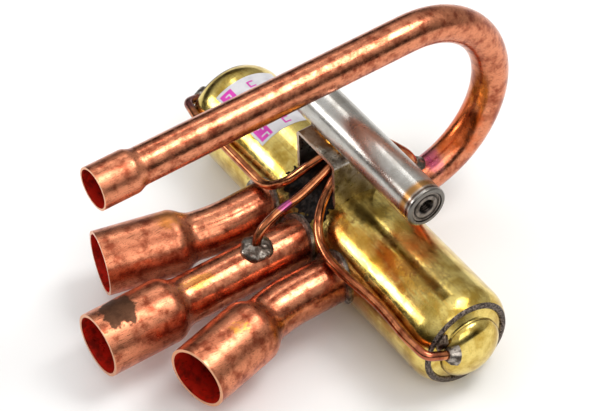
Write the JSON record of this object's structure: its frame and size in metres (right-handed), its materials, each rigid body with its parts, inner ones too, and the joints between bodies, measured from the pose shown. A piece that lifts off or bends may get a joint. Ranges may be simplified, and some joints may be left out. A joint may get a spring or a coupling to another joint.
{
  "type": "four-way reversing valve",
  "caption": "Brass slide valve with copper side pipes, a U-bent discharge pipe, a solenoid pilot sleeve and capillary tubes.",
  "frame": {"origin": "centre of the suction pipe's mouth, the middle one of the three side pipes", "axes": "-Y out of the three side pipes, +X along the cylinder towards the pilot valve's open end, +Z from the cylinder towards the pilot valve"},
  "size_m": [0.1466, 0.1572, 0.0889],
  "materials": {
    "bracket_steel": "sheet, heat stained",
    "brass": "polished with heat tints",
    "braze_gold": "satin",
    "braze_silver": "lumpy, satin",
    "capillary_copper": "drawn copper, heat stained",
    "copper": "satin copper, heat stained",
    "core_steel": "turned",
    "label_paper": "printed film",
    "ptfe": "smooth",
    "seam_solder": "matte",
    "shading_copper": "drawn copper",
    "sheet_steel": "sheet",
    "slide_polymer": "moulded",
    "spring_steel": "drawn",
    "stainless": "drawn and polished",
    "turned_brass": "turned"
  },
  "bodies": {
    "valve_body": {"body_tube": "brass", "boss_braze_left": "braze_silver", "boss_braze_right": "braze_silver", "bracket_braze": "braze_gold", "capillary_discharge": "capillary_copper", "capillary_left": "capillary_copper", "capillary_right": "capillary_copper", "capillary_suction": "capillary_copper", "discharge_capillary_braze": "braze_silver", "discharge_root_braze": "braze_silver", "discharge_tube": "copper", "end_cap_left": "brass", "end_cap_right": "brass", "label": "label_paper", "pilot_bracket": "bracket_steel", "pilot_capillary_brazes": "braze_silver", "pilot_core": "core_steel", "pilot_end_plug": "turned_brass", "pilot_return_spring": "spring_steel", "pilot_seat": "turned_brass", "pilot_shading_ring": "shading_copper", "pilot_sleeve": "stainless", "port_brazes": "braze_silver", "port_tube_left": "copper", "port_tube_right": "copper", "port_tube_suction": "copper", "seam_ring_left": "seam_solder", "seam_ring_right": "seam_solder", "suction_capillary_braze": "braze_silver", "valve_seat": "turned_brass"},
    "shuttle": {"piston_cup_left": "ptfe", "piston_cup_right": "ptfe", "piston_expander_left": "spring_steel", "piston_expander_right": "spring_steel", "piston_plate_left": "turned_brass", "piston_plate_right": "turned_brass", "piston_screws": "sheet_steel", "piston_washer_left": "sheet_steel", "piston_washer_right": "sheet_steel", "slide_block": "slide_polymer", "slide_frame": "sheet_steel", "slide_spring": "spring_steel"},
    "pilot_armature": {"pilot_carrier": "sheet_steel", "pilot_leaf_spring": "spring_steel", "pilot_plunger": "core_steel", "pilot_slide": "slide_polymer"}
  },
  "joints": [
    {"name": "main_slide", "type": "slide", "parent": "valve_body", "child": "shuttle", "axis": [1, 0, 0], "range_m": [0, 0.0197]},
    {"name": "pilot_plunger_slide", "type": "slide", "parent": "valve_body", "child": "pilot_armature", "axis": [1, 0, 0], "range_m": [0, 0.0019], "stiffness_N_per_m": 400, "springref_m": -0.004, "deforming": ["pilot_return_spring"]}
  ]
}
